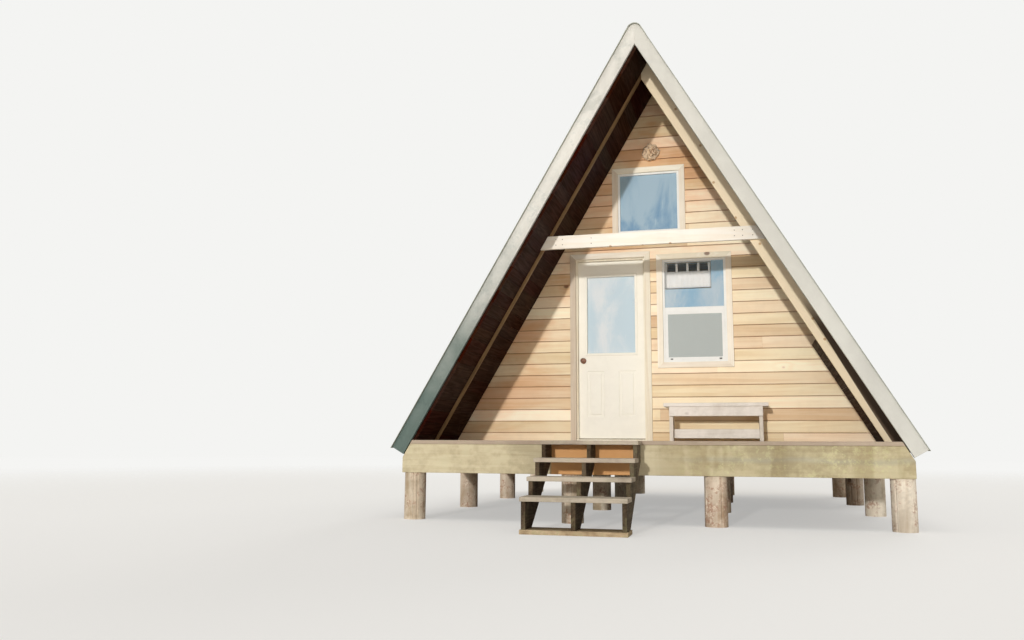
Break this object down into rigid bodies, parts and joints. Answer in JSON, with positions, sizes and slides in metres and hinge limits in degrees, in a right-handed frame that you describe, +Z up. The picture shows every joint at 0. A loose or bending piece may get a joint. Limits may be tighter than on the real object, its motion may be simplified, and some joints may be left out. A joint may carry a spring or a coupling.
{
  "type": "a-frame cabin",
  "caption": "Small A-frame cabin on log piers: recessed porch, hinged door, windows, metal roof, floor, loft, bench and a separate open stair.",
  "frame": {"origin": "centre of the bounding box at ground level, under the log piers", "axes": "+Z up, +Y from the front gable and stair to the back gable, +X to the right seen from the front"},
  "size_m": [5.0922, 7.223, 5.005],
  "materials": {
    "peeled_log": "peeled log, dry and checked",
    "weathered_rim": "weathered plank with green-grey lichen",
    "framing_lumber": "sawn softwood",
    "deck_boards": "weathered grey boards",
    "floor_boards": "sawn boards",
    "wall_lining": "board lining",
    "cedar_siding": "oiled cedar lap siding",
    "cedar_casing": "cedar trim boards",
    "roof_boards": "red-brown stained boards",
    "roof_metal": "ribbed sheet",
    "trim_metal": "painted trim",
    "door_paint": "cream paint",
    "clear_glass": "window glass",
    "knob_bronze": "dark bronze",
    "hinge_steel": "plain",
    "white_vinyl": "white vinyl",
    "screen_mesh": "insect mesh",
    "burl_wood": "gnarled burl",
    "grey_paint": "weathered grey paint"
  },
  "bodies": {
    "cabin": {"log_piers_front": "peeled_log", "log_piers_inner": "peeled_log", "log_piers_back": "peeled_log", "front_rim": "weathered_rim", "cross_girders": "framing_lumber", "back_rim": "framing_lumber", "side_rims": "framing_lumber", "floor_joists": "framing_lumber", "rafters_left": "framing_lumber", "rafters_right": "framing_lumber", "ridge_board": "framing_lumber", "collar_beam": "framing_lumber", "loft_joists": "framing_lumber", "roof_battens_left": "framing_lumber", "roof_battens_right": "framing_lumber", "porch_deck": "deck_boards", "stair_treads": "deck_boards", "stair_stringers": "deck_boards", "stair_sill": "deck_boards", "cabin_floor": "floor_boards", "loft_floor": "floor_boards", "front_wall_left": "wall_lining", "front_wall_right": "wall_lining", "front_wall_gable": "wall_lining", "back_wall": "wall_lining", "front_siding": "cedar_siding", "back_siding": "cedar_siding", "front_casings": "cedar_casing", "back_casings": "cedar_casing", "door_frame": "cedar_casing", "roof_boards_left": "roof_boards", "roof_boards_right": "roof_boards", "porch_ceiling_left": "roof_boards", "porch_ceiling_right": "roof_boards", "metal_roof_left": "roof_metal", "metal_roof_right": "roof_metal", "ridge_cap": "roof_metal", "front_trim_left": "trim_metal", "front_trim_right": "trim_metal", "back_trim_left": "trim_metal", "back_trim_right": "trim_metal", "front_window_glass": "clear_glass", "back_window_glass": "clear_glass", "frame_hinge_leaves": "hinge_steel", "front_window_frames": "white_vinyl", "back_window_frames": "white_vinyl", "window_screen": "screen_mesh", "burl_knob": "burl_wood", "bench_seat": "grey_paint", "bench_rails": "grey_paint", "bench_legs": "grey_paint"},
    "door": {"door_slab": "door_paint", "door_glass": "clear_glass", "door_knob": "knob_bronze", "door_hinge_leaves": "hinge_steel"}
  },
  "joints": [
    {"name": "door_hinge", "type": "hinge", "parent": "cabin", "child": "door", "pos_m": [-0.0945, -0.9885, 1.836], "axis": [0, 0, -1], "range_deg": [0, 100]}
  ]
}
